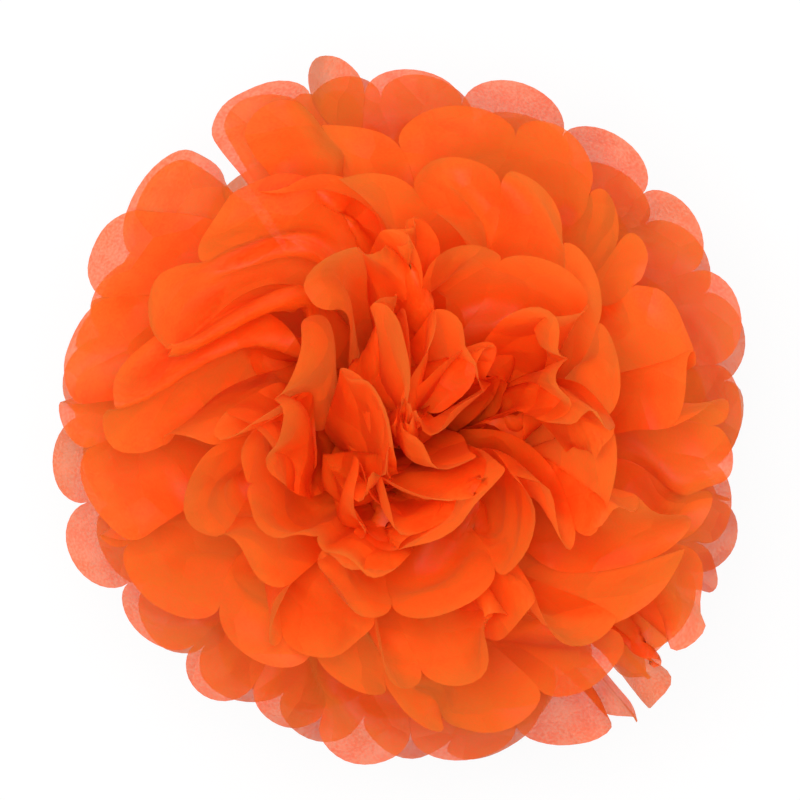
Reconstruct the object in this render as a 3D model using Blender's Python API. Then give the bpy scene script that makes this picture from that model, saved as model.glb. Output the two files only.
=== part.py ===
# Tissue paper pom pom, lying on a table with its open face up.
# A stack of tissue sheets is pleated into a strip, its ends are cut round, a wire gathers
# the strip at its middle, and each sheet is then pulled up or down into two half fans.
# X runs along the strip, Y along the slit between the two fans, Z up. Metres.

import math
import random

import bpy
import numpy as np
from mathutils import Vector

# The stack of tissue, quarter sheets of 508 x 762 mm
SHEET_COUNT = 10
SHEET_LENGTH = 0.254  # along the pleats, from rim to rim
SHEET_WIDTH = 0.381  # across the pleats, before folding
PLEAT_COUNT = 12
PAPER_THICKNESS = 0.0003  # soft tissue with the air in its wrinkles
LOBE_DEPTH = 0.011  # how deep the round cut at a pleat's end goes
LOBE_SPREAD = 0.0022  # how unevenly the lobes are cut

# The gathered middle
PAPER_GAP = 0.0003  # between neighbouring sheets under the wire
WAIST_HALF_LENGTH = 0.003  # from the middle to where the fans start
BUNDLE_RADIUS = 0.0064  # half the width of the gathered middle sheets
BUNDLE_TAPER = 0.0007  # each sheet further out is gathered this much narrower

# How far the layers are pulled apart, in degrees above or below the middle plane
RIM_LIFT = 10.0
CROWN_LIFT = 77.0
FOOT_LIFT = 71.0  # the underside is spread by the pom pom's own weight
LIFT_CURVE = 0.85
FLARE = 14.0  # how much a fully lifted petal bends outwards along its length
MOST_RISE = 88.0

# Each layer wanders up and down round the ball, and its neighbours wander with it
WANDER = ((2, 0.26), (3, 0.26), (5, 0.28), (8, 0.30), (13, 0.24))  # waves round, share
WANDER_SHARE = 0.75  # of half the room between two layers
RIM_WANDER_SHARE = 0.40  # the same for the layers next to the middle plane
SLIT_WANDER_SHARE = 0.35  # what is left of that beside the slits
LEAST_WANDER = 0.5  # the smallest of a layer's waves beside the largest
FULL_WANDER_AT = 0.08  # from the root
FULL_WANDER_RANK = 0.4
SLIT_NARROWNESS = 6

# Pleats near the tie, looser curls towards the rim
PLEAT_SHARE = 0.41  # of the room in the layer
PLEAT_ROUNDNESS = 0.88  # how much of a flat pleat's depth a rounded one keeps
LEAST_PLEAT = 0.0022
SHARPEST_FOLD = 0.7  # the flattest fold has this share of the deepest one's depth
LOOSE_FROM = 0.45  # beyond this share of a petal the pleats give way to curls
LOOSE_TO = 0.95
LOOSE_SHARE = 0.92
FULL_CURL = 0.8  # share of a petal at which its curl is full
CURL_TAKES = 0.03  # of a petal's reach, because the paper runs along the curl
CALM_PLEATS = 1.5  # beside a free edge of the rim's sheets
SLIP_SHARE = 0.24  # of a pleat, sideways
LAYER_FILL = 0.86  # of the room in the layer, at most
FOLD_WALL = 1.7  # how far the paper of a steep layer bulges past its folds
RIM_UNEVENNESS = 0.12
WIDTH_SPREAD = 0.8  # how unevenly a steep layer's pleats open
CORE_RADIUS = 0.003  # left free round the axis
LEAST_SLOPE = 0.2
RIM_SLIT = 0.0050  # between the two fans at the rim
SLIT_SWING = 11.0  # degrees by which lifted layers lean across the slit
FOLD_SEED = 11
CUT_SEED = 23

# How the whole ball is out of true
SWAY = 4.0  # degrees up or down, and sideways
SWAY_WAVES = ((2, 0.9, 0.45), (3, 2.1, 0.35), (5, 4.0, 0.20))  # waves round, phase, share
LEAN_WIDTH = 0.013  # how far the line between the fans wanders
LEAN_LENGTH = 0.078
LEAN_RISE = 0.16
LEAN_REACH = 0.045
TWIST = 26.0  # degrees that the crown is turned against the rim
TWIST_FROM = 0.02
TWIST_TO = 0.09
FOOT_PRESS = 0.0055  # how far the lowest petals are flattened by the table

# Where the rows of mesh points lie along a petal, as shares of its uncut length
INNER_ROW = 0.30
MIDDLE_ROW = 0.56
OUTER_ROW = 0.80

# The tie
WIRE_DIAMETER = 0.0008
WIRE_TURNS = 2
WIRE_CLEARANCE = 0.0003
LOOP_STEPS = 12
LOOP_SQUARENESS = 3  # 2 would be an ellipse
TWIST_LENGTH = 0.014
TWIST_PITCH = 0.0056
TWIST_CLEARANCE = 0.0001
TWIST_STEPS = 6  # points for each turn of the twisted ends
TWIST_START = 2.5  # wire diameters from the loop
TWIST_LEAD = 1.2

TISSUE_COLOUR = (0.93, 0.10, 0.013, 1.0)
WIRE_COLOUR = (0.62, 0.60, 0.57, 1.0)

HALF_LENGTH = SHEET_LENGTH / 2
PLEAT_WIDTH = SHEET_WIDTH / PLEAT_COUNT
SHEET_PITCH = PAPER_THICKNESS + PAPER_GAP
MOST_RANK = max(SHEET_COUNT / 2 - 1, 1)

folds = np.random.default_rng(FOLD_SEED)
wander_phase = folds.uniform(0, 2 * math.pi, (max(SHEET_COUNT - 1, 1), len(WANDER)))
wander_size = folds.uniform(LEAST_WANDER, 1.0, wander_phase.shape) * np.array([share for _, share in WANDER])
curls, slips = folds.uniform(-1, 1, (2, 2 * SHEET_COUNT, 2 * PLEAT_COUNT + 1))


def clear_scene():
    for obj in list(bpy.data.objects):
        bpy.data.objects.remove(obj)


def make_material(name, colour, roughness, metallic):
    material = bpy.data.materials.new(name)
    material.use_nodes = True
    shader = material.node_tree.nodes["Principled BSDF"]
    shader.inputs["Base Color"].default_value = colour
    shader.inputs["Roughness"].default_value = roughness
    shader.inputs["Metallic"].default_value = metallic
    return material


# Places in the stack. Sheet 0 is the top one.

def level(k):
    return (SHEET_COUNT - 1) / 2 - k


def side(k):
    return 1 if level(k) >= 0 else -1


def rank(k):
    """0 for a sheet next to the middle plane, 1 for the outermost, which stands steepest."""
    return max(abs(level(k)) - 0.5, 0) / MOST_RANK


def lift(k):
    steepest = CROWN_LIFT if side(k) > 0 else FOOT_LIFT
    if abs(level(k)) < 0.5:
        return 0.0
    return side(k) * math.radians(RIM_LIFT + (steepest - RIM_LIFT) * rank(k) ** LIFT_CURVE)


def chord_lift(k, s):
    """Elevation of the line from the root to the place a length s along a petal."""
    flare = side(k) * math.radians(FLARE) * rank(k)
    return lift(k) + flare * (0.5 - 0.5 * s / HALF_LENGTH)


def ease(x):
    x = np.clip(x, 0, 1)
    return x * x * (3 - 2 * x)


def boundary(k, heading, s):
    """Elevation of the boundary between sheets k and k + 1, which both keep to."""
    middle = (chord_lift(k, s) + chord_lift(k + 1, s)) / 2
    noise = 0
    for i, (waves, _) in enumerate(WANDER):
        phase = wander_phase[k, i] + s / HALF_LENGTH * (i - len(WANDER) // 2)
        noise = noise + wander_size[k, i] * np.sin(waves * heading + phase)
    steep = (rank(k) + rank(k + 1)) / 2
    share = RIM_WANDER_SHARE + (WANDER_SHARE - RIM_WANDER_SHARE) * min(steep / FULL_WANDER_RANK, 1)
    beside_slit = np.abs(np.sin(heading)) ** SLIT_NARROWNESS
    share = share * (1 - (1 - SLIT_WANDER_SHARE) * beside_slit * (1 - steep))
    room = (lift(k) - lift(k + 1)) / 2
    return middle + share * room * noise * np.clip(s / FULL_WANDER_AT, 0, 1)


def layer(k, heading, s):
    """Elevations of the lower and upper boundary of sheet k."""
    low = boundary(k, heading, s) if k < SHEET_COUNT - 1 else None
    high = boundary(k - 1, heading, s) if k > 0 else None
    if low is None:
        low = 2 * chord_lift(k, s) - high
    if high is None:
        high = 2 * chord_lift(k, s) - low
    return low, high


def pleat_at(u):
    """Which pleat lies at u, counted in pleats across the sheet, and the share across it."""
    j = np.clip(np.floor(u + 1e-9).astype(int), 0, PLEAT_COUNT - 1)
    return j, u - j


def between(values, u):
    """An eased line through values that are given at every half pleat."""
    i = np.clip(np.floor(2 * u + 1e-9).astype(int), 0, 2 * PLEAT_COUNT - 1)
    return values[i] + (values[i + 1] - values[i]) * ease(2 * u - i)


class Fan:
    """One half of a sheet, spread round its end of the waist."""

    def __init__(self, k, end, draw):
        self.k = k
        self.end = end
        self.root = BUNDLE_RADIUS - BUNDLE_TAPER * MOST_RANK * rank(k)
        self.cut = np.array([draw.uniform(-1.0, 1.0) for _ in range(PLEAT_COUNT)])
        self.fold = np.array([draw.uniform(SHARPEST_FOLD, 1.0) for _ in range(PLEAT_COUNT + 1)])
        uneven = RIM_UNEVENNESS + WIDTH_SPREAD * rank(k)
        widths = [math.exp(draw.uniform(-uneven, uneven)) for _ in range(PLEAT_COUNT)]
        self.share = np.array([sum(widths[:j]) / sum(widths) for j in range(PLEAT_COUNT + 1)])
        # the free edges of the rim's sheets lie calm
        places = np.arange(2 * PLEAT_COUNT + 1) / 2
        calm = np.minimum(np.minimum(places, PLEAT_COUNT - places) / CALM_PLEATS, 1)
        calm = 1 - (1 - calm) * (1 - rank(k))
        self.curl = curls[2 * k + (end < 0)] * calm
        self.slip = slips[2 * k + (end < 0)] * calm
        uncut = HALF_LENGTH - LOBE_DEPTH
        plan = uncut * math.cos(chord_lift(k, uncut))
        close = math.asin(max(min((WAIST_HALF_LENGTH - RIM_SLIT / 2) / plan, 0.5), -0.5))
        swing = math.radians(SLIT_SWING) * rank(k) * (-1) ** k * end
        self.first = -math.pi / 2 - close - swing
        self.last = math.pi / 2 + close + swing

    def heading(self, u, s, loose):
        """Direction in plan of the place u pleats across and s along a petal."""
        slip = SLIP_SHARE * between(self.slip, u) * (s / HALF_LENGTH) ** 2
        j, f = pleat_at(np.clip(u + slip, 0, PLEAT_COUNT))
        bulge = FOLD_WALL * rank(self.k) * (1 - loose)
        across = f + bulge * np.sin(2 * math.pi * f) / (2 * math.pi)
        spread = self.share[j] + (self.share[j + 1] - self.share[j]) * across
        return self.first + (self.last - self.first) * spread

    def pleat_depth(self, middle, half, s):
        """Half the pleats' depth at s: what spare paper makes and the layer has room for."""
        out = self.root + s * np.cos(middle)
        span = math.pi * (out + WAIST_HALF_LENGTH) / SHEET_WIDTH
        spare = 0.5 * PLEAT_ROUNDNESS * PLEAT_WIDTH * np.sqrt(np.maximum(1 - span ** 2, 0))
        free = PLEAT_SHARE * 2 * half * s
        inward = (out - CORE_RADIUS) / np.maximum(np.abs(np.sin(middle)), LEAST_SLOPE)
        depth = np.minimum(np.minimum(np.maximum(spare, LEAST_PLEAT), free), inward)
        return np.maximum(depth, 0)

    def points(self, u, s):
        """The places u pleats across the fan and a length s along it."""
        far = s / HALF_LENGTH
        loose = LOOSE_SHARE * ease((far - LOOSE_FROM) / (LOOSE_TO - LOOSE_FROM))
        heading = self.heading(u, s, loose)
        low, high = layer(self.k, heading if self.end > 0 else math.pi - heading, s)
        middle, half = (low + high) / 2, (high - low) / 2
        j, f = pleat_at(u)
        size = self.fold[j] + (self.fold[j + 1] - self.fold[j]) * f
        wave = np.where(j % 2 == 0, 1.0, -1.0) * size * np.cos(math.pi * f)
        pleat = self.pleat_depth(middle, half, s) * (1 - loose) * wave
        curl = between(self.curl, u) * np.minimum(far / FULL_CURL, 1) ** 2
        offset = pleat / np.maximum(s * half, 1e-9) + curl
        offset = LAYER_FILL * offset / (1 + offset ** 4) ** 0.25
        most = math.radians(MOST_RISE)
        rise = np.clip(middle + half * offset, -most, most)
        reach = s * (1 - CURL_TAKES * far ** 2)
        run = reach * np.cos(rise)
        root_heading = -math.pi / 2 + math.pi * u / PLEAT_COUNT
        x = WAIST_HALF_LENGTH + self.root * np.cos(root_heading) + run * np.cos(heading)
        y = self.root * np.sin(root_heading) + run * np.sin(heading)
        z = level(self.k) * SHEET_PITCH + reach * np.sin(rise)
        return sway(lean(np.stack([self.end * x, y, z], axis=-1)))

    def rim_length(self, u):
        """Where the round cut at the end of each pleat leaves the paper's edge, from the root."""
        j, f = pleat_at(u)
        lobe = LOBE_DEPTH + LOBE_SPREAD * self.cut[j]
        heading = -math.pi / 2 + math.pi * u / PLEAT_COUNT
        waist = WAIST_HALF_LENGTH + self.root * np.cos(heading)
        round_end = np.sqrt(np.maximum(1 - (2 * f - 1) ** 2, 0))
        return HALF_LENGTH - LOBE_DEPTH + lobe * round_end - waist

    def row(self, per_pleat, share):
        """A line of points across the fan, at a share of its length, or at its cut edge for None."""
        u = np.linspace(0, PLEAT_COUNT, PLEAT_COUNT * per_pleat + 1)
        s = self.rim_length(u) if share is None else np.full(len(u), share * HALF_LENGTH)
        return self.points(u, s)


def lean(points):
    """Higher up, the line between the two fans wanders, and the petals turn round the axis."""
    x, y, z = points[..., 0], points[..., 1], points[..., 2]
    high = ease((np.abs(z) - TWIST_FROM) / (TWIST_TO - TWIST_FROM))
    wave = np.sin(2 * math.pi * (y / LEAN_LENGTH + z / LEAN_RISE) + np.sign(z))
    x = x + LEAN_WIDTH * high * wave * np.exp(-(x / LEAN_REACH) ** 2)
    turn = math.radians(TWIST) * high * np.sign(z)
    return np.stack([x * np.cos(turn) - y * np.sin(turn), x * np.sin(turn) + y * np.cos(turn), z], axis=-1)


def sway(points):
    """Bends the ball a little out of true. Every layer follows, so none meets its neighbour."""
    far = np.linalg.norm(points, axis=-1)
    safe = np.maximum(far, 1e-9)
    round_axis = np.arctan2(points[..., 1], points[..., 0])
    rise = np.arcsin(np.clip(points[..., 2] / safe, -1, 1))
    turn = sum(share * np.sin(n * round_axis + phase) for n, phase, share in SWAY_WAVES)
    level_turn = sum(share * np.cos(n * round_axis + 2 * phase) for n, phase, share in SWAY_WAVES)
    easing = far / HALF_LENGTH * np.cos(rise) ** 2
    rise = rise + math.radians(SWAY) * turn * easing
    round_axis = round_axis + math.radians(SWAY) * level_turn * easing
    flat = far * np.cos(rise)
    return np.stack([flat * np.cos(round_axis), flat * np.sin(round_axis), far * np.sin(rise)], axis=-1)


def rest_height():
    """How far the middle of the tie lies above the table."""
    lowest = SHEET_COUNT - 1
    return HALF_LENGTH * math.sin(abs(lift(lowest))) - level(lowest) * SHEET_PITCH - FOOT_PRESS


def strip_faces(inner, outer):
    """Triangles between two rows of point numbers, where the outer may have twice the points."""
    factor = (len(outer) - 1) // (len(inner) - 1)
    faces = []
    for i in range(len(inner) - 1):
        near = (inner[i], inner[i + 1])
        far = outer[i * factor:(i + 1) * factor + 1]
        faces.append((near[0], far[0], far[1]))
        if factor == 1:
            faces.append((near[0], far[1], near[1]))
        else:
            faces += [(near[0], far[1], near[1]), (near[1], far[1], far[2])]
    return faces


def make_sheet(k, material, height):
    """One tissue sheet: a surface from rim to rim through the waist, given its thickness."""
    draw = random.Random(CUT_SEED + k)
    fans = [Fan(k, end, draw) for end in (1, -1)]
    points, rows = [], []
    for fan in fans:
        lines = [
            fan.row(1, 0.0),
            fan.row(2, INNER_ROW),
            fan.row(2, MIDDLE_ROW),
            fan.row(4, OUTER_ROW),
            fan.row(4, None),
        ]
        numbered = []
        for line in lines:
            numbered.append(list(range(len(points), len(points) + len(line))))
            points += line.tolist()
        rows.append(numbered)
    faces = []
    for inner, outer in zip(rows[0], rows[0][1:]):
        faces += strip_faces(inner, outer)
    for inner, outer in zip(rows[1], rows[1][1:]):
        faces += [face[::-1] for face in strip_faces(inner, outer)]
    faces += [face[::-1] for face in strip_faces(rows[0][0], rows[1][0])]

    table = PAPER_THICKNESS / 2
    placed = [(x, y, max(z + height, table)) for x, y, z in points]
    mesh = bpy.data.meshes.new(f"tissue_sheet_{k + 1:02d}")
    mesh.from_pydata(placed, [], faces)
    mesh.materials.append(material)
    obj = bpy.data.objects.new(mesh.name, mesh)
    bpy.context.scene.collection.objects.link(obj)
    body = obj.modifiers.new("Paper thickness", "SOLIDIFY")
    body.thickness = PAPER_THICKNESS
    body.offset = 0
    return obj


def wire_loop():
    """The turns round the bundle, from the slit side and back to it."""
    wide = BUNDLE_RADIUS + PAPER_THICKNESS / 2 + WIRE_CLEARANCE + WIRE_DIAMETER / 2
    stack = SHEET_PITCH * (SHEET_COUNT - 1) / 2 + PAPER_THICKNESS / 2
    high = stack + WIRE_CLEARANCE + WIRE_DIAMETER / 2
    pitch = WIRE_DIAMETER + TWIST_CLEARANCE
    points = []
    for i in range(WIRE_TURNS * LOOP_STEPS + 1):
        turn = 2 * math.pi * i / LOOP_STEPS
        c, s = math.cos(turn), math.sin(turn)
        square = (abs(c) ** LOOP_SQUARENESS + abs(s) ** LOOP_SQUARENESS) ** (-1 / LOOP_SQUARENESS)
        x = pitch * (i / LOOP_STEPS - WIRE_TURNS / 2)
        points.append(Vector((x, wide * c * square, high * s * square)))
    return points, wide


def wire_strand(start_side, wide):
    """One of the two twisted ends, from the loop outwards along the slit."""
    radius = (WIRE_DIAMETER + TWIST_CLEARANCE) / 2
    begin = wide + TWIST_START * WIRE_DIAMETER
    steps = max(int(TWIST_STEPS * TWIST_LENGTH / TWIST_PITCH), 4)
    points = []
    for i in range(steps + 1):
        along = TWIST_LENGTH * i / steps
        turn = 2 * math.pi * along / TWIST_PITCH
        x = start_side * radius * math.cos(turn)
        z = start_side * radius * math.sin(turn)
        points.append(Vector((x, begin + along, z)))
    return points


def make_tie(material, height):
    loop, wide = wire_loop()
    lead = wide + TWIST_LEAD * WIRE_DIAMETER
    out = loop[-1].x
    before = wire_strand(-1, wide)[::-1] + [Vector((-out, lead, 0))]
    after = [Vector((out, lead, 0))] + wire_strand(1, wide)
    path = before + loop + after
    curve = bpy.data.curves.new("wire_tie", "CURVE")
    curve.dimensions = "3D"
    curve.bevel_depth = WIRE_DIAMETER / 2
    curve.bevel_resolution = 1
    curve.use_fill_caps = True
    spline = curve.splines.new("POLY")
    spline.points.add(len(path) - 1)
    for point, place in zip(spline.points, path):
        point.co = (place.x, place.y, place.z, 1)
    curve.materials.append(material)
    obj = bpy.data.objects.new("wire_tie", curve)
    obj.location.z = height
    bpy.context.scene.collection.objects.link(obj)
    return obj


def main():
    clear_scene()
    tissue = make_material("orange_tissue", TISSUE_COLOUR, 0.85, 0.0)
    steel = make_material("soft_wire", WIRE_COLOUR, 0.4, 1.0)
    height = rest_height()
    for k in range(SHEET_COUNT):
        make_sheet(k, tissue, height)
    make_tie(steel, height)


main()
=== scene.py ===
import math
import random

import bpy
import numpy as np
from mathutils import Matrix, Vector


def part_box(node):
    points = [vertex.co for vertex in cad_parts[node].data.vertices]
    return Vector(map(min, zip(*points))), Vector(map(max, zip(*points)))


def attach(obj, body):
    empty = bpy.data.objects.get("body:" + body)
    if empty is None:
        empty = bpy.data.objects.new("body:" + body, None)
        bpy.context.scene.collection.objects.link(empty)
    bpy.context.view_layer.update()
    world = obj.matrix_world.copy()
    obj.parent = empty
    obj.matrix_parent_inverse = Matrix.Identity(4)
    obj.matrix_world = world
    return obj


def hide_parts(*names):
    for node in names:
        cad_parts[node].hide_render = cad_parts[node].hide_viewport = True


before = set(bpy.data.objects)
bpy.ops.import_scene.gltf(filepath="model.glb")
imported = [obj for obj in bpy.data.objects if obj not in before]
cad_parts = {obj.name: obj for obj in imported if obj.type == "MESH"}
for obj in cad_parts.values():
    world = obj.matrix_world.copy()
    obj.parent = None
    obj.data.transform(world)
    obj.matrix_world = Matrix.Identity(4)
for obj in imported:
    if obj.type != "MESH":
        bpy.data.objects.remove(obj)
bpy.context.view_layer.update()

print("frame loaded")

# The paper ball: a stack of tissue sheets, pleated, tied in the middle, each end cut round and pulled open
ball = {
    "sheets": 10,
    "length": 0.254,            # along the pleats, from rim to rim
    "width": 0.381,             # across the pleats, before folding
    "pleats": 12,
    "lobeDepth": 0.011,
    "lobeSpread": 0.0022,
    "pitch": 0.0006,            # between sheets under the wire
    "waistHalf": 0.003,
    "bundleRadius": 0.0064,
    "bundleTaper": 0.0007,
    "rimLift": 10.0,            # degrees
    "crownLift": 77.0,
    "footLift": 71.0,
    "liftCurve": 0.85,
    "flare": 14.0,
    "ruffleShare": 0.41,
    "ruffleRoundness": 0.88,
    "leastRuffle": 0.0022,
    "sharpestFold": 0.7,        # the flattest fold has this share of the deepest one's depth
    "foldWall": 1.7,            # over 1 the walls of a steep sheet's folds lean over
    "rimUneven": 0.12,          # how unevenly pleats open in the flattest sheets
    "widthSpread": 0.8,         # what the steepest sheets add to that
    "looseFrom": 0.45,          # beyond this share of a petal its pleats give way to curls
    "looseTo": 0.95,
    "looseShare": 0.92,
    "fullCurl": 0.8,            # share of a petal at which its curl is full
    "calmPleats": 1.5,          # beside a free edge of the rim sheets
    "curlTakes": 0.03,          # of a petal's reach
    "slipShare": 0.24,          # of a pleat, sideways
    "layerFill": 0.86,
    "fillKnee": 4,              # how sharply a pleat or curl stops at its layer's edge
    "layerNoise": 0.75,         # how much the layers wander up and down
    "rimNoise": 0.60,
    "slitNoise": 0.35,          # what is left of that beside the slits
    "slitNarrow": 6,
    "leastWander": 0.5,
    "wanderAt": 0.08,           # full from this far out
    "wanderRank": 0.4,
    "wander": ((2, 0.26), (3, 0.26), (5, 0.28), (8, 0.30), (13, 0.24)),     # waves round, share
    "foldSeed": 11,
    "coreRadius": 0.003,
    "leastSlope": 0.2,
    "mostRise": 88.0,
    "rimSlit": 0.0050,
    "slitSwing": 11.0,
    "layerTurn": 3.8,           # degrees that each sheet is turned, one way and the other in turn
    "leanWidth": 0.013,         # how far the line between the fans wanders
    "leanLength": 0.078,
    "leanRise": 0.16,
    "leanReach": 0.045,
    "twist": 26.0,              # degrees that the crown is turned against the rim
    "twistFrom": 0.02,
    "twistTo": 0.09,
    "sway": 4.0,
    "swayWaves": ((2, 0.9, 0.45), (3, 2.1, 0.35), (5, 4.0, 0.20)),
    "seed": 23,
}
halfLength = ball["length"] / 2
pleatWidth = ball["width"] / ball["pleats"]
mostRank = ball["sheets"] / 2 - 1


def level(k):
    return (ball["sheets"] - 1) / 2 - k


def side(k):
    return 1 if level(k) >= 0 else -1


def rank(k):        # 0 next to the middle, 1 for the steepest sheets
    return (abs(level(k)) - 0.5) / mostRank


def lift(k):
    steepest = ball["crownLift"] if side(k) > 0 else ball["footLift"]
    return side(k) * math.radians(
        ball["rimLift"] + (steepest - ball["rimLift"]) * rank(k) ** ball["liftCurve"])


def flareOf(k):
    return side(k) * math.radians(ball["flare"]) * rank(k)


def chordLift(k, far):          # elevation of the line from the root to a place on the petal
    return lift(k) + flareOf(k) * (0.5 - 0.5 * far / halfLength)


def easing(x):
    x = np.clip(x, 0, 1)
    return x * x * (3 - 2 * x)


folds = np.random.default_rng(ball["foldSeed"])
wanderPhase = folds.uniform(0, 2 * math.pi, (ball["sheets"] - 1, len(ball["wander"])))
wanderSize = folds.uniform(ball["leastWander"], 1.0, wanderPhase.shape)
wanderSize = wanderSize * np.array([share for _, share in ball["wander"]])
curls, slips = folds.uniform(-1, 1, (2, 2 * ball["sheets"], 2 * ball["pleats"] + 1))


def wall(b, heading, far):      # elevation of the boundary between sheets b and b + 1
    middle = (chordLift(b, far) + chordLift(b + 1, far)) / 2
    noise = sum(wanderSize[b, i] * np.sin(waves * heading + wanderPhase[b, i] + far / halfLength * (i - 2))
                for i, (waves, _) in enumerate(ball["wander"]))
    steep = (rank(b) + rank(b + 1)) / 2
    size = ball["rimNoise"] + (ball["layerNoise"] - ball["rimNoise"]) * min(steep / ball["wanderRank"], 1)
    beside = np.abs(np.sin(heading)) ** ball["slitNarrow"]
    size = size * (1 - (1 - ball["slitNoise"]) * beside * (1 - steep))
    return middle + size * (lift(b) - lift(b + 1)) / 2 * noise * np.clip(far / ball["wanderAt"], 0, 1)


def layerOf(k, heading, far):   # elevations of its lower and upper boundary
    low = wall(k, heading, far) if k < ball["sheets"] - 1 else None
    high = wall(k - 1, heading, far) if k > 0 else None
    if low is None:
        low = 2 * chordLift(k, far) - high
    if high is None:
        high = 2 * chordLift(k, far) - low
    return low, high


def makeFan(k, end, draw):      # draws in the order that gives every fan its own folds
    n = ball["pleats"]
    fan = {"k": k, "end": end, "root": ball["bundleRadius"] - ball["bundleTaper"] * mostRank * rank(k)}
    fan["cut"] = np.array([draw.uniform(-1.0, 1.0) for _ in range(n)])
    fan["fold"] = np.array([draw.uniform(ball["sharpestFold"], 1.0) for _ in range(n + 1)])
    uneven = ball["rimUneven"] + ball["widthSpread"] * rank(k)
    widths = [math.exp(draw.uniform(-uneven, uneven)) for _ in range(n)]
    fan["share"] = np.array([sum(widths[:j]) / sum(widths) for j in range(n + 1)])
    places = np.arange(2 * n + 1) / 2
    calm = np.minimum(np.minimum(places, n - places) / ball["calmPleats"], 1)
    calm = 1 - (1 - calm) * (1 - rank(k))
    fan["curl"] = curls[2 * k + (end < 0)] * calm
    fan["slip"] = slips[2 * k + (end < 0)] * calm
    rim = halfLength - ball["lobeDepth"]
    plan = rim * math.cos(lift(k) + flareOf(k) * (0.5 - 0.5 * rim / halfLength))
    close = math.asin(max(min((ball["waistHalf"] - ball["rimSlit"] / 2) / plan, 0.5), -0.5))
    swing = math.radians(ball["slitSwing"]) * rank(k) * (-1) ** k * end
    fan["first"] = -math.pi / 2 - close - swing
    fan["last"] = math.pi / 2 + close + swing
    return fan


def pleatAt(u):                 # which pleat, and how far across it
    j = np.clip(np.floor(u + 1e-9).astype(int), 0, ball["pleats"] - 1)
    return j, u - j


def between(values, u):         # values are given at every half pleat
    i = np.clip(np.floor(2 * u + 1e-9).astype(int), 0, 2 * ball["pleats"] - 1)
    return values[i] + (values[i + 1] - values[i]) * easing(2 * u - i)


def fanPoints(fan, u, s):       # u counts pleats across, s is the length along a petal
    k = fan["k"]
    far = s / halfLength
    loose = ball["looseShare"] * easing((far - ball["looseFrom"]) / (ball["looseTo"] - ball["looseFrom"]))

    j, f = pleatAt(np.clip(u + ball["slipShare"] * between(fan["slip"], u) * far ** 2, 0, ball["pleats"]))
    across = f + ball["foldWall"] * rank(k) * (1 - loose) * np.sin(2 * math.pi * f) / (2 * math.pi)
    spread = fan["share"][j] + (fan["share"][j + 1] - fan["share"][j]) * across
    heading = fan["first"] + (fan["last"] - fan["first"]) * spread
    heading = heading + math.radians(ball["layerTurn"]) * (-1) ** k * fan["end"] * np.cos(heading) ** 2

    low, high = layerOf(k, heading if fan["end"] > 0 else math.pi - heading, s)
    middle, half = (low + high) / 2, (high - low) / 2
    out = fan["root"] + s * np.cos(middle)
    span = math.pi * (out + ball["waistHalf"]) / ball["width"]
    spare = 0.5 * ball["ruffleRoundness"] * pleatWidth * np.sqrt(np.maximum(1 - span ** 2, 0))
    free = ball["ruffleShare"] * 2 * half * s
    inward = (out - ball["coreRadius"]) / np.maximum(np.abs(np.sin(middle)), ball["leastSlope"])
    depth = np.maximum(np.minimum(np.minimum(np.maximum(spare, ball["leastRuffle"]), free), inward), 0)
    j, f = pleatAt(u)
    size = fan["fold"][j] + (fan["fold"][j + 1] - fan["fold"][j]) * f
    pleat = depth * (1 - loose) * np.where(j % 2 == 0, 1.0, -1.0) * size * np.cos(math.pi * f)
    curl = between(fan["curl"], u) * np.minimum(far / ball["fullCurl"], 1) ** 2
    offset = pleat / np.maximum(s * half, 1e-9) + curl
    offset = ball["layerFill"] * offset / (1 + offset ** ball["fillKnee"]) ** (1 / ball["fillKnee"])
    most = math.radians(ball["mostRise"])
    rise = np.clip(middle + half * offset, -most, most)
    reach = s * (1 - ball["curlTakes"] * far ** 2)
    run = reach * np.cos(rise)
    up = level(k) * ball["pitch"] + reach * np.sin(rise)

    rootHeading = -math.pi / 2 + math.pi * u / ball["pleats"]
    x = ball["waistHalf"] + fan["root"] * np.cos(rootHeading) + run * np.cos(heading)
    y = fan["root"] * np.sin(rootHeading) + run * np.sin(heading)
    return np.stack([x, y, up], axis=-1)


def rimLength(fan, u):          # from the root to the round-cut edge
    j = np.minimum(np.floor(u + 1e-9).astype(int), ball["pleats"] - 1)
    f = u - j
    lobe = ball["lobeDepth"] + ball["lobeSpread"] * fan["cut"][j]
    heading = -math.pi / 2 + math.pi * u / ball["pleats"]
    waist = ball["waistHalf"] + fan["root"] * np.cos(heading)
    roundEnd = np.sqrt(np.maximum(1 - (2 * f - 1) ** 2, 0))
    return halfLength - ball["lobeDepth"] + lobe * roundEnd - waist


def sway(points):               # the whole ball is a little out of true
    far = np.linalg.norm(points, axis=-1)
    safe = np.maximum(far, 1e-9)
    roundAxis = np.arctan2(points[..., 1], points[..., 0])
    rise = np.arcsin(np.clip(points[..., 2] / safe, -1, 1))
    turn = sum(a * np.sin(n * roundAxis + p) for n, p, a in ball["swayWaves"])
    levelTurn = sum(a * np.cos(n * roundAxis + 2 * p) for n, p, a in ball["swayWaves"])
    share = math.radians(ball["sway"]) * far / halfLength * np.cos(rise) ** 2
    rise = rise + turn * share
    roundAxis = roundAxis + levelTurn * share
    flat = far * np.cos(rise)
    return np.stack([flat * np.cos(roundAxis), flat * np.sin(roundAxis), far * np.sin(rise)], axis=-1)


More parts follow.
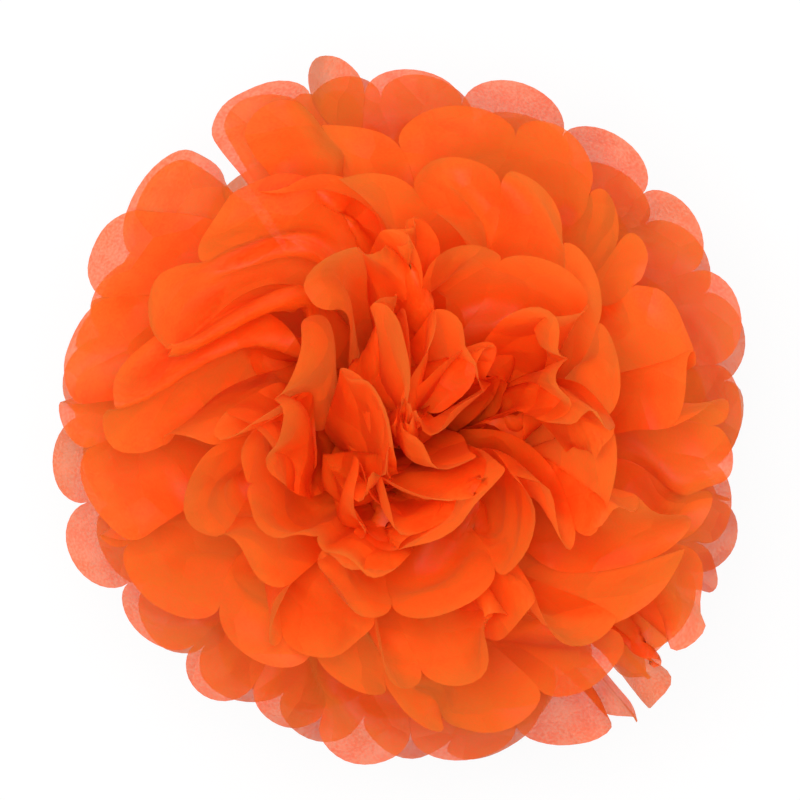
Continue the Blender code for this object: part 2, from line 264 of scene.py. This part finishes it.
def lean(points):               # higher up, the line between the two fans wanders and turns
    x, y, z = points[..., 0], points[..., 1], points[..., 2]
    high = easing((np.abs(z) - ball["twistFrom"]) / (ball["twistTo"] - ball["twistFrom"]))
    wave = np.sin(2 * math.pi * (y / ball["leanLength"] + z / ball["leanRise"]) + np.sign(z))
    x = x + ball["leanWidth"] * high * wave * np.exp(-(x / ball["leanReach"]) ** 2)
    turn = math.radians(ball["twist"]) * high * np.sign(z)
    return np.stack([x * np.cos(turn) - y * np.sin(turn), x * np.sin(turn) + y * np.cos(turn), z], axis=-1)


fans = []
for k in range(ball["sheets"]):
    draw = random.Random(ball["seed"] + k)
    fans += [makeFan(k, end, draw) for end in (1, -1)]


# Letting the paper settle: it can't stretch, resists bending, and each sheet keeps to its own layer
settle = {
    "rounds": 260,
    "perPleat": 6,
    "rows": 25,
    "reach": 0.124,             # longest petal from its root
    "alongBend": 0.30,
    "acrossBend": 0.20,
    "panelSpread": 0.10,
    "creaseOpen": 0.30,         # least opening of a fold, as a share of flat
    "widthHold": 0.5,           # how firmly it keeps its width when pressed, its length and its square
    "lengthHold": 0.9,
    "squareHold": (0.25, 0.5),
    "flatAcross": 0.985,        # bending is felt below these shares of flat
    "flatPanel": 0.93,
    "nudgeShare": 0.7,          # of the rounds; the rest smooths
    "freeFrom": 0.02,           # layers are kept apart beyond this
    "nearest": 0.004,
    "give": (0.012, 0.055),     # nearer the tie than this the paper is crushed, beyond it keeps its width
    "rimEase": 1.03,            # rim sheets are smoothed out this much wider
    "fanOut": 0.06,             # degrees a round that they are drawn open towards the slits
    "curl": 1.00,               # degrees a round that petals are nudged up or down
    "slide": 0.45,
    "meet": 0.30,               # how firmly the two fans' edges close up near the tie
    "meetReach": 0.08,          # up to half of this they close up fully
    "layerGap": 0.0005,
    "core": 0.002,
    "floor": 0.1145,            # below the tie
}


def pairUp(points, a, b, rest, push, tug):
    gap = points[b] - points[a]
    length = np.sqrt((gap * gap).sum(-1, keepdims=True))
    error = length - rest
    move = gap * (0.5 * np.where(error > 0, tug, push) * error / np.maximum(length, 1e-9))
    points[a] += move
    points[b] -= move


def settleFans(points):
    n, m = ball["pleats"], settle["perPleat"]
    rows, cols = points.shape[1], points.shape[2]
    stepAcross = pleatWidth / m
    ease = [1 + (settle["rimEase"] - 1) * max(1 - 2 * rank(fan["k"]), 0) for fan in fans]
    ease = np.array(ease)[:, None, None, None]
    stepAlong = settle["reach"] / (rows - 1)
    s = np.linspace(0, settle["reach"], rows)
    grip = easing((s - settle["give"][0]) / (settle["give"][1] - settle["give"][0]))[None, :, None, None]
    every = slice(None)
    count = ball["sheets"] - 1
    ends = np.array([fan["end"] for fan in fans])[:, None, None]
    baseUp = np.array([level(fan["k"]) * ball["pitch"] for fan in fans])[:, None, None]
    first = np.array([fan["first"] for fan in fans])[:, None, None]
    last = np.array([fan["last"] for fan in fans])[:, None, None]
    pinned = points[:, 0].copy()
    half = np.arange(2 * n + 1) / 2
    column = np.arange(cols) / m
    weight = (s / settle["reach"])[None, :, None] ** 2
    curl = np.stack([np.interp(column, half, fan["curl"]) for fan in fans])[:, None, :]
    curl = math.radians(settle["curl"]) * curl * weight
    slide = np.stack([np.interp(column, half, fan["slip"]) for fan in fans])[:, None, :]
    slide = math.radians(settle["slide"]) * slide * weight
    drawn = np.array([1 - rank(fan["k"]) for fan in fans])[:, None, None] * (2 * column / n - 1)
    slide = slide + math.radians(settle["fanOut"]) * drawn * weight

    creaseMask = np.ones(cols - 2)
    creaseMask[m - 1::m] = 0
    creaseMask = creaseMask[None, None, :, None]
    creases = np.arange(m, cols - 1, m)

    for turn in range(settle["rounds"]):
        for parity in (0, 1):
            a = (every, every, slice(parity, cols - 1, 2))
            b = (every, every, slice(parity + 1, cols, 2))
            pairUp(points, a, b, stepAcross * ease, settle["widthHold"] * grip, 1.0)
            a = (every, slice(parity, rows - 1, 2))
            b = (every, slice(parity + 1, rows, 2))
            pairUp(points, a, b, stepAlong, settle["lengthHold"], 1.0)
        diagonal = math.hypot(stepAcross, stepAlong)
        push, tug = settle["squareHold"]
        for parity in (0, 1):
            low, high = slice(parity, rows - 1, 2), slice(parity + 1, rows, 2)
            some = grip[:, parity:rows - 1:2]
            pairUp(points, (every, low, slice(0, -1)), (every, high, slice(1, None)),
                   diagonal, push * some, tug)
            pairUp(points, (every, low, slice(1, None)), (every, high, slice(0, -1)),
                   diagonal, push * some, tug)
        for start in (0, 1, 2, 3):
            a = (every, slice(start, rows - 2, 4))
            b = (every, slice(start + 2, rows, 4))
            pairUp(points, a, b, 2 * stepAlong, settle["alongBend"], 0.0)
            a = (every, every, slice(start, cols - 2, 4))
            b = (every, every, slice(start + 2, cols, 4))
            mask = creaseMask[:, :, start::4]
            firm = settle["acrossBend"] * mask * grip
            pairUp(points, a, b, 2 * stepAcross * settle["flatAcross"], firm, 0.0)
        # whole panels keep most of their width, and folds stay a little open
        for parity in (0, 1):
            a = (every, every, slice(parity * m, cols - m, 2 * m))
            b = (every, every, slice(parity * m + m, cols, 2 * m))
            pairUp(points, a, b, pleatWidth * settle["flatPanel"], settle["panelSpread"] * grip, 0.0)
        pairUp(points, (every, every, creases - 1), (every, every, creases + 1),
               2 * stepAcross * settle["creaseOpen"], settle["widthHold"], 0.0)

        # each layer between its walls
        x = points[..., 0] - ball["waistHalf"]
        y = points[..., 1]
        z = points[..., 2] - baseUp
        flat = np.hypot(x, y)
        far = np.hypot(flat, z)
        rise = np.arctan2(z, flat)
        heading = np.arctan2(points[..., 1], points[..., 0] * ends)
        gap = settle["layerGap"] / np.maximum(far, settle["nearest"])
        nudged = turn < settle["nudgeShare"] * settle["rounds"]
        kept = rise + curl if nudged else rise.copy()
        for i, fan in enumerate(fans):
            k = fan["k"]
            if k > 0:
                kept[i] = np.minimum(kept[i], wall(k - 1, heading[i], far[i]) - gap[i])
            if k < count:
                kept[i] = np.maximum(kept[i], wall(k, heading[i], far[i]) + gap[i])
        newFlat = np.maximum(far * np.cos(kept), settle["core"])
        newFlat = np.where(far < settle["freeFrom"], flat, newFlat)
        z = np.where(far < settle["freeFrom"], z, far * np.sin(kept))
        ratio = newFlat / np.maximum(flat, 1e-9)
        x, y = x * ratio, y * ratio
        if nudged:
            x, y = x - y * slide, y + x * slide
        # the two fans keep to their own sides, and their edges meet near the tie
        near = np.clip(2 - 2 * far / settle["meetReach"], 0, 1)
        room = ball["waistHalf"] * near
        for limit, sign, edge in ((last, 1, -1), (first, -1, 0)):
            nx, ny = -np.sin(limit) * sign, np.cos(limit) * sign
            over = np.where(sign * y > 0, np.maximum(x * nx + y * ny - room, 0), 0)
            x, y = x - over * nx, y - over * ny
            nx, ny = nx[..., 0], ny[..., 0]
            short = np.minimum(x[..., edge] * nx + y[..., edge] * ny - room[..., edge], 0)
            short = short * settle["meet"] * near[..., edge]
            x[..., edge] -= short * nx
            y[..., edge] -= short * ny
        points[..., 0] = x + ball["waistHalf"]
        points[..., 1] = y
        points[..., 2] = np.maximum(z + baseUp, -settle["floor"])
        points[:, 0] = pinned
    return points


across = np.linspace(0, ball["pleats"], ball["pleats"] * settle["perPleat"] + 1)
along = np.linspace(0, settle["reach"], settle["rows"])
uGrid, sGrid = np.meshgrid(across, along)
paper = np.stack([fanPoints(fan, uGrid, sGrid) for fan in fans])
paper = settleFans(paper)
print("paper settled")


# Fine sheets, read from the settled paper and cut round at the ends
fine = {
    "perPleat": 16,
    "rows": 44,
    "tableGap": 0.0002,         # no paper lies lower than this
}


def fineShare():                    # places across a pleat, closer together near its folds
    return (1 - np.cos(math.pi * np.arange(fine["perPleat"] + 1) / fine["perPleat"])) / 2


def fineAcross():
    inner = fineShare()[:-1]
    return np.append(np.concatenate([j + inner for j in range(ball["pleats"])]), ball["pleats"])


def splineMatrix(knots, shares):    # natural cubic through evenly spaced knots
    n = knots - 1
    system = np.zeros((knots, knots))
    right = np.zeros((knots, knots))
    system[0, 0] = system[n, n] = 1
    for i in range(1, n):
        system[i, i - 1:i + 2] = (1, 4, 1)
        right[i, i - 1:i + 2] = (6, -12, 6)
    bends = np.linalg.solve(system, right)
    eye = np.eye(knots)
    out = []
    for t in shares * n:
        i = min(int(t), n - 1)
        b = t - i
        a = 1 - b
        out.append(a * eye[i] + b * eye[i + 1]
                   + ((a ** 3 - a) * bends[i] + (b ** 3 - b) * bends[i + 1]) / 6)
    return np.array(out)


def acrossMatrix():                 # smooth over each panel, sharp at each fold
    m, per, n = settle["perPleat"], fine["perPleat"], ball["pleats"]
    block = splineMatrix(m + 1, fineShare())
    full = np.zeros((n * per + 1, n * m + 1))
    for j in range(n):
        full[j * per:(j + 1) * per + 1, j * m:(j + 1) * m + 1] = block
    return full


def fineFan(fan, grid, matrix):
    u = fineAcross()
    columns = np.einsum("fc,rcx->rfx", matrix, grid)
    t = np.linspace(0, 1, fine["rows"] + 1)[:, None]
    s = t * rimLength(fan, u)[None, :]
    place = s / settle["reach"] * (settle["rows"] - 1)
    r = np.clip(np.floor(place).astype(int), 0, settle["rows"] - 2)
    b = (place - r)[..., None]
    c = np.broadcast_to(np.arange(len(u)), r.shape)
    p0 = columns[np.maximum(r - 1, 0), c]
    p1 = columns[r, c]
    p2 = columns[r + 1, c]
    p3 = columns[np.minimum(r + 2, settle["rows"] - 1), c]
    points = 0.5 * (2 * p1 + (p2 - p0) * b + (2 * p0 - 5 * p1 + 4 * p2 - p3) * b ** 2
                    + (3 * p1 - p0 - 3 * p2 + p3) * b ** 3)
    waist = halfLength - ball["lobeDepth"] - rimLength(fan, np.floor(u))[None, :]
    flat = np.stack([np.broadcast_to(u * pleatWidth, s.shape), (s + waist) * fan["end"]], axis=-1)
    points = points * np.array([fan["end"], 1, 1])
    return points, flat


def sheetObject(k, material, matrix, height):
    grids, flats = [], []
    for i in (2 * k, 2 * k + 1):
        points, flat = fineFan(fans[i], paper[i], matrix)
        grids.append(points)
        flats.append(flat)
    points = np.concatenate([grids[1][::-1], grids[0]])
    flat = np.concatenate([flats[1][::-1], flats[0]])
    points = sway(lean(points))
    points[..., 2] = np.maximum(points[..., 2] + height, fine["tableGap"])
    rows, cols = points.shape[:2]
    index = np.arange(rows * cols).reshape(rows, cols)
    quads = np.stack([index[:-1, :-1], index[:-1, 1:], index[1:, 1:], index[1:, :-1]], axis=-1)
    quads = quads.reshape(-1, 4)[:, ::-1]
    mesh = bpy.data.meshes.new(f"paperSheet{k + 1:02d}")
    mesh.from_pydata(points.reshape(-1, 3).tolist(), [], quads.tolist())
    layer = mesh.uv_layers.new(name="flat")
    loops = np.empty(len(mesh.loops), np.int32)
    mesh.loops.foreach_get("vertex_index", loops)
    layer.data.foreach_set("uv", flat.reshape(-1, 2)[loops].astype(np.float32).ravel())
    # folds are sharp
    ends = np.empty(len(mesh.edges) * 2, np.int32)
    mesh.edges.foreach_get("vertices", ends)
    column = ends.reshape(-1, 2) % cols
    fold = (column[:, 0] == column[:, 1]) & (column[:, 0] % fine["perPleat"] == 0)
    mesh.edges.foreach_set("use_edge_sharp", fold)
    mesh.polygons.foreach_set("use_smooth", np.ones(len(mesh.polygons), bool))
    mesh.materials.append(material)
    obj = bpy.data.objects.new(mesh.name, mesh)
    bpy.context.scene.collection.objects.link(obj)
    return obj


# Finishes
def mixMath(nodes, links, operation, a, b):
    node = nodes.new("ShaderNodeMath")
    node.operation = operation
    for socket, value in zip(node.inputs, (a, b)):
        if isinstance(value, (int, float)):
            socket.default_value = value
        else:
            links.new(value, socket)
    return node.outputs[0]


def mixColours(nodes, links, share, a, b):
    node = nodes.new("ShaderNodeMix")
    node.data_type = "RGBA"
    node.inputs["A"].default_value = (*a, 1)
    node.inputs["B"].default_value = (*b, 1)
    links.new(share, node.inputs["Factor"])
    return node.outputs["Result"]


def mixRange(nodes, links, value, limits):
    node = nodes.new("ShaderNodeMapRange")
    for name, limit in limits.items():
        node.inputs[name].default_value = limit
    links.new(value, node.inputs["Value"])
    return node.outputs["Result"]


def placeGroup(nodes, links, tree, place, values):
    group = nodes.new("ShaderNodeGroup")
    group.node_tree = tree
    links.new(place, group.inputs["Place"])
    for name, value in values.items():
        group.inputs[name].default_value = value
    return group


def whiteRays(nodes, links):    # what sees the stage as plain white, without more light on the ball
    path = nodes.new("ShaderNodeLightPath")
    seen = mixMath(nodes, links, "MAXIMUM", path.outputs["Is Camera Ray"], path.outputs["Is Glossy Ray"])
    return mixMath(nodes, links, "MAXIMUM", seen, path.outputs["Is Transmission Ray"])


grainPattern = {                # what a new material starts from
    "Fine Scale": 900.0,
    "Cloud Scale": 120.0,
    "Stretch": 1.0,
}
grainDetail = 2.0


def addGrainGroup():            # fibre and cloud patterns, used by the paper and the wire
    group = bpy.data.node_groups.new("fibreGrain", "ShaderNodeTree")
    face = group.interface
    face.new_socket(name="Place", in_out="INPUT", socket_type="NodeSocketVector")
    for name, value in grainPattern.items():
        socket = face.new_socket(name=name, in_out="INPUT", socket_type="NodeSocketFloat")
        socket.default_value = value
    for name in ("Fibre", "Cloud"):
        face.new_socket(name=name, in_out="OUTPUT", socket_type="NodeSocketFloat")
    nodes, links = group.nodes, group.links
    start = nodes.new("NodeGroupInput")
    end = nodes.new("NodeGroupOutput")
    squeeze = nodes.new("ShaderNodeCombineXYZ")
    squeeze.inputs["Y"].default_value = 1.0
    squeeze.inputs["Z"].default_value = 1.0
    links.new(start.outputs["Stretch"], squeeze.inputs["X"])
    place = nodes.new("ShaderNodeVectorMath")
    place.operation = "MULTIPLY"
    links.new(start.outputs["Place"], place.inputs[0])
    links.new(squeeze.outputs[0], place.inputs[1])
    for scale, name in (("Fine Scale", "Fibre"), ("Cloud Scale", "Cloud")):
        noise = nodes.new("ShaderNodeTexNoise")
        noise.noise_dimensions = "2D"
        noise.inputs["Detail"].default_value = grainDetail
        links.new(place.outputs[0], noise.inputs["Vector"])
        links.new(start.outputs[scale], noise.inputs["Scale"])
        links.new(noise.outputs["Fac"], end.inputs[name])
    return group


creasePattern = {
    "Pleat Width": 0.03,
    "Fold Height": 0.003,
    "Crease Scale": 45.0,
    "Crease Height": 0.001,
}


def addCreaseGroup():           # how far the paper stands up at its folds and small creases, in metres
    group = bpy.data.node_groups.new("foldsAndCreases", "ShaderNodeTree")
    face = group.interface
    face.new_socket(name="Place", in_out="INPUT", socket_type="NodeSocketVector")
    for name, value in creasePattern.items():
        socket = face.new_socket(name=name, in_out="INPUT", socket_type="NodeSocketFloat")
        socket.default_value = value
    face.new_socket(name="Height", in_out="OUTPUT", socket_type="NodeSocketFloat")
    nodes, links = group.nodes, group.links
    start = nodes.new("NodeGroupInput")
    end = nodes.new("NodeGroupOutput")
    parts = nodes.new("ShaderNodeSeparateXYZ")
    links.new(start.outputs["Place"], parts.inputs[0])
    pleat = mixMath(nodes, links, "DIVIDE", parts.outputs["X"], start.outputs["Pleat Width"])
    zigzag = mixMath(nodes, links, "PINGPONG", pleat, 1.0)
    folds = mixMath(nodes, links, "MULTIPLY", zigzag, start.outputs["Fold Height"])
    cells = nodes.new("ShaderNodeTexVoronoi")
    cells.voronoi_dimensions = "2D"
    cells.feature = "F1"
    links.new(start.outputs["Place"], cells.inputs["Vector"])
    links.new(start.outputs["Crease Scale"], cells.inputs["Scale"])
    creases = mixMath(nodes, links, "MULTIPLY", cells.outputs["Distance"], start.outputs["Crease Height"])
    links.new(mixMath(nodes, links, "ADD", folds, creases), end.inputs["Height"])
    return group


paperLook = {
    "grain": {"Fine Scale": 1300.0, "Cloud Scale": 160.0, "Stretch": 0.8},
    "fibreShare": 0.65,
    "contrast": (0.38, 0.62),
    "paleShare": 0.9,
    "gloss": 0.30,
    "colour": (0.93, 0.074, 0.002),
    "pale": (0.97, 0.152, 0.011),
    "shine": (0.97, 0.33, 0.055),       # what comes through the paper
    "roughness": 0.52,
    "through": 0.44,
    "opacity": (0.73, 0.86),            # of the share that doesn't let light through
    "creases": {
        "Pleat Width": pleatWidth,
        "Fold Height": 0.0055,          # the folds' crease lines, and small creases between them
        "Crease Scale": 60.0,
        "Crease Height": 0.0026,
    },
}


def paperMaterial(grain, creasing):
    material = bpy.data.materials.new("orangeTissue")
    material.use_nodes = True
    material.use_transparent_shadow = False
    nodes, links = material.node_tree.nodes, material.node_tree.links
    shader = nodes["Principled BSDF"]
    output = nodes["Material Output"]
    uv = nodes.new("ShaderNodeUVMap")
    uv.uv_map = "flat"
    fibres = placeGroup(nodes, links, grain, uv.outputs["UV"], paperLook["grain"])
    fibre = mixMath(nodes, links, "MULTIPLY", fibres.outputs["Fibre"], paperLook["fibreShare"])
    cloud = mixMath(nodes, links, "MULTIPLY", fibres.outputs["Cloud"], 1 - paperLook["fibreShare"])
    tone = mixMath(nodes, links, "ADD", fibre, cloud)
    low, high = paperLook["contrast"]
    mask = mixRange(nodes, links, tone, {"From Min": low, "From Max": high})

    share = mixMath(nodes, links, "MULTIPLY", mask, paperLook["paleShare"])
    colour = mixColours(nodes, links, share, paperLook["colour"], paperLook["pale"])
    links.new(colour, shader.inputs["Base Color"])
    shader.inputs["Roughness"].default_value = paperLook["roughness"]
    shader.inputs["Specular IOR Level"].default_value = paperLook["gloss"]
    low, high = paperLook["opacity"]
    opacity = mixRange(nodes, links, mask, {"To Min": high, "To Max": low})
    links.new(opacity, shader.inputs["Alpha"])

    creases = placeGroup(nodes, links, creasing, uv.outputs["UV"], paperLook["creases"])
    bump = nodes.new("ShaderNodeBump")
    bump.inputs["Strength"].default_value = 1.0
    bump.inputs["Distance"].default_value = 1.0
    links.new(creases.outputs["Height"], bump.inputs["Height"])
    links.new(bump.outputs["Normal"], shader.inputs["Normal"])

    through = nodes.new("ShaderNodeBsdfTranslucent")
    through.inputs["Color"].default_value = (*paperLook["shine"], 1)
    links.new(bump.outputs["Normal"], through.inputs["Normal"])
    body = nodes.new("ShaderNodeMixShader")
    body.inputs["Fac"].default_value = paperLook["through"]
    links.new(shader.outputs[0], body.inputs[1])
    links.new(through.outputs[0], body.inputs[2])
    links.new(body.outputs[0], output.inputs["Surface"])
    return material


wireLook = {
    "colour": (0.60, 0.58, 0.55),
    "dull": (0.42, 0.41, 0.39),
    "roughness": (0.26, 0.51),
    "grain": {"Fine Scale": 2500.0, "Cloud Scale": 400.0, "Stretch": 0.2},
}


def wireMaterial(grain):
    material = bpy.data.materials.new("softSteelWire")
    material.use_nodes = True
    nodes, links = material.node_tree.nodes, material.node_tree.links
    shader = nodes["Principled BSDF"]
    place = nodes.new("ShaderNodeTexCoord")
    fibres = placeGroup(nodes, links, grain, place.outputs["Object"], wireLook["grain"])
    colour = mixColours(nodes, links, fibres.outputs["Cloud"], wireLook["dull"], wireLook["colour"])
    links.new(colour, shader.inputs["Base Color"])
    low, high = wireLook["roughness"]
    rough = mixRange(nodes, links, fibres.outputs["Fibre"], {"To Min": low, "To Max": high})
    links.new(rough, shader.inputs["Roughness"])
    shader.inputs["Metallic"].default_value = 1.0
    return material


grain = addGrainGroup()
paperFinish = paperMaterial(grain, addCreaseGroup())
wireFinish = wireMaterial(grain)

tieLow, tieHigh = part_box("wire_tie")
tieHeight = (tieLow[2] + tieHigh[2]) / 2
matrix = acrossMatrix()
for k in range(ball["sheets"]):
    sheet = sheetObject(k, paperFinish, matrix, tieHeight)
    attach(sheet, "root")
    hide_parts(f"tissue_sheet_{k + 1:02d}")
print("sheets cut")

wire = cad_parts["wire_tie"]
wire.data.materials.clear()
wire.data.materials.append(wireFinish)
print("wire dressed")


# Table, camera and light
stand = {
    "size": 6.0,
    "colour": 0.92,
    "roughness": 0.9,
    "whiten": 0.92,             # share of plain white that the camera sees
}


def makeFloor():
    half = stand["size"] / 2
    mesh = bpy.data.meshes.new("table")
    corners = [(-half, -half, 0), (half, -half, 0), (half, half, 0), (-half, half, 0)]
    mesh.from_pydata(corners, [], [(0, 1, 2, 3)])
    floor = bpy.data.objects.new("table", mesh)
    bpy.context.scene.collection.objects.link(floor)
    material = bpy.data.materials.new("paleTable")
    material.use_nodes = True
    nodes, links = material.node_tree.nodes, material.node_tree.links
    shader = nodes["Principled BSDF"]
    shader.inputs["Base Color"].default_value = (*[stand["colour"]] * 3, 1)
    shader.inputs["Roughness"].default_value = stand["roughness"]
    shader.inputs["Specular IOR Level"].default_value = 0.0
    glow = nodes.new("ShaderNodeEmission")
    blend = nodes.new("ShaderNodeMixShader")
    white = mixMath(nodes, links, "MULTIPLY", whiteRays(nodes, links), stand["whiten"])
    links.new(white, blend.inputs["Fac"])
    links.new(shader.outputs[0], blend.inputs[1])
    links.new(glow.outputs[0], blend.inputs[2])
    links.new(blend.outputs[0], nodes["Material Output"].inputs["Surface"])
    mesh.materials.append(material)


view = {
    "turn": -36.0,              # degrees: the strip runs to the upper right
    "distance": 1.9,
    "pixels": 800,
    "metresPerPixel": 0.3385 / 1000,
    "centre": (408.0, 417.0),   # the ball's middle in the picture
}


def makeCamera():
    data = bpy.data.cameras.new("camera")
    camera = bpy.data.objects.new("camera", data)
    bpy.context.scene.collection.objects.link(camera)
    bpy.context.scene.camera = camera
    turn = math.radians(view["turn"])
    away = [(view["pixels"] / 2 - c) * view["metresPerPixel"] for c in view["centre"]]
    right, down = away
    camera.location = (right * math.cos(turn) + down * math.sin(turn),
                       right * math.sin(turn) - down * math.cos(turn),
                       tieHeight + view["distance"])
    camera.rotation_euler = (0, 0, turn)
    data.sensor_fit = "HORIZONTAL"
    width = view["pixels"] * view["metresPerPixel"]
    data.lens = data.sensor_width * view["distance"] / width
    data.clip_end = 50


lamps = {
    "front": {"at": (-0.05, 0.09, 1.25), "size": 0.6, "power": 12.9},
    "side": {"at": (1.3, 0.9, 0.9), "size": 1.0, "power": 4.0},
    "sky": 0.50,
}


def makeLamp(name):
    lamp = lamps[name]
    data = bpy.data.lights.new(name, "AREA")
    data.shape = "DISK"
    data.size = lamp["size"]
    data.energy = lamp["power"]
    obj = bpy.data.objects.new(name, data)
    bpy.context.scene.collection.objects.link(obj)
    obj.location = lamp["at"]
    aim = np.array([0, 0, tieHeight]) - np.array(lamp["at"])
    obj.rotation_euler = (math.acos(-aim[2] / np.linalg.norm(aim)), 0,
                          math.atan2(aim[1], aim[0]) - math.pi / 2)


def makeSky():
    world = bpy.data.worlds.new("studio")
    bpy.context.scene.world = world
    world.use_nodes = True
    nodes, links = world.node_tree.nodes, world.node_tree.links
    strength = mixMath(nodes, links, "MAXIMUM", whiteRays(nodes, links), lamps["sky"])
    links.new(strength, nodes["Background"].inputs["Strength"])
    nodes["Background"].inputs["Color"].default_value = (1, 1, 1, 1)


makeFloor()
makeCamera()
for name in ("front", "side"):
    makeLamp(name)
makeSky()
bpy.context.scene.view_settings.view_transform = "Standard"
print("stage, camera and lamps ready")
